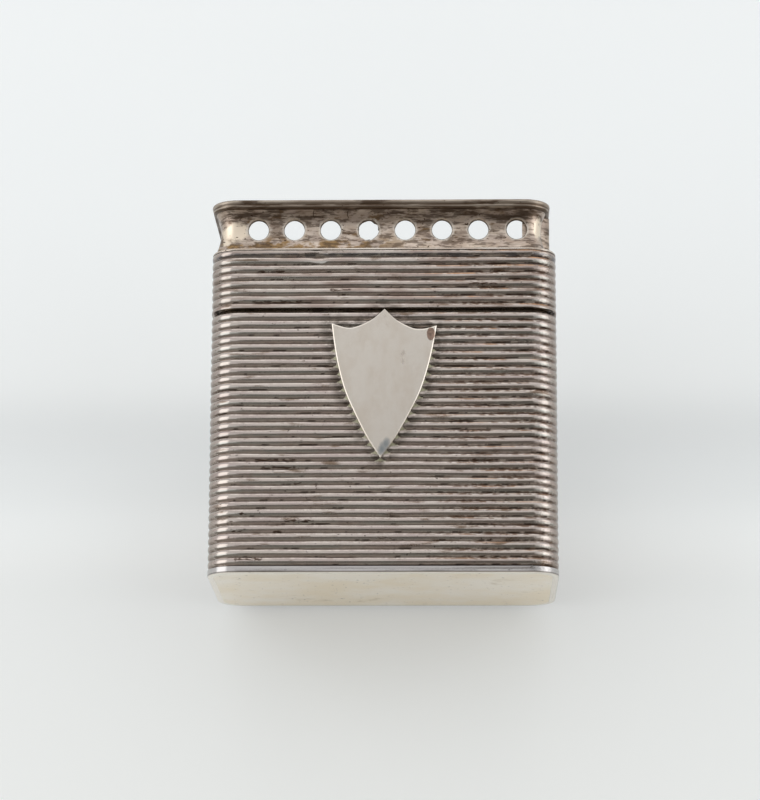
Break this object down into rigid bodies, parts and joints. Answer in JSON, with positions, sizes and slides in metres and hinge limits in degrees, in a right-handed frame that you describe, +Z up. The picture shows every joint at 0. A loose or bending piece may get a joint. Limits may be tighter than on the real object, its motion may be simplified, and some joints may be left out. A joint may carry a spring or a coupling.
{
  "type": "sponge box",
  "caption": "Small reeded silver box with rounded corners, a lid hinged at the back, a pierced gallery on the lid and a plain shield on the front; it holds a scented sponge.",
  "frame": {"origin": "centre of the base's underside, on which the box stands", "axes": "+X to the right seen from the front, -Y towards the front with the shield, +Z up"},
  "size_m": [0.0322, 0.019, 0.0354],
  "materials": {
    "reeded_silver": "worn reeded silver, tarnished in the grooves",
    "plate_silver": "plain silver plate, satin from handling",
    "bezel_silver": "darkened inner silver",
    "shield_silver": "plain polished plate gone satin",
    "gallery_silver": "silver with brown-gold tarnish",
    "rim_silver": "moulded silver wire with dark lines",
    "hinge_silver": "drawn silver tube and pin"
  },
  "bodies": {
    "box_body": {"body_shell": "reeded_silver", "base_plate": "plate_silver", "body_bezel": "bezel_silver", "shield_cartouche": "shield_silver", "hinge_knuckle_body_left": "hinge_silver", "hinge_knuckle_body_centre": "hinge_silver", "hinge_knuckle_body_right": "hinge_silver", "hinge_pin": "hinge_silver"},
    "lid": {"lid_shell": "reeded_silver", "lid_top_plate": "plate_silver", "gallery": "gallery_silver", "gallery_rim": "rim_silver", "hinge_knuckle_lid_left": "hinge_silver", "hinge_knuckle_lid_right": "hinge_silver"}
  },
  "joints": [
    {"name": "lid_hinge", "type": "hinge", "parent": "box_body", "child": "lid", "pos_m": [0, 0.0091, 0.02467], "axis": [-1, 0, 0], "range_deg": [0, 110]}
  ]
}
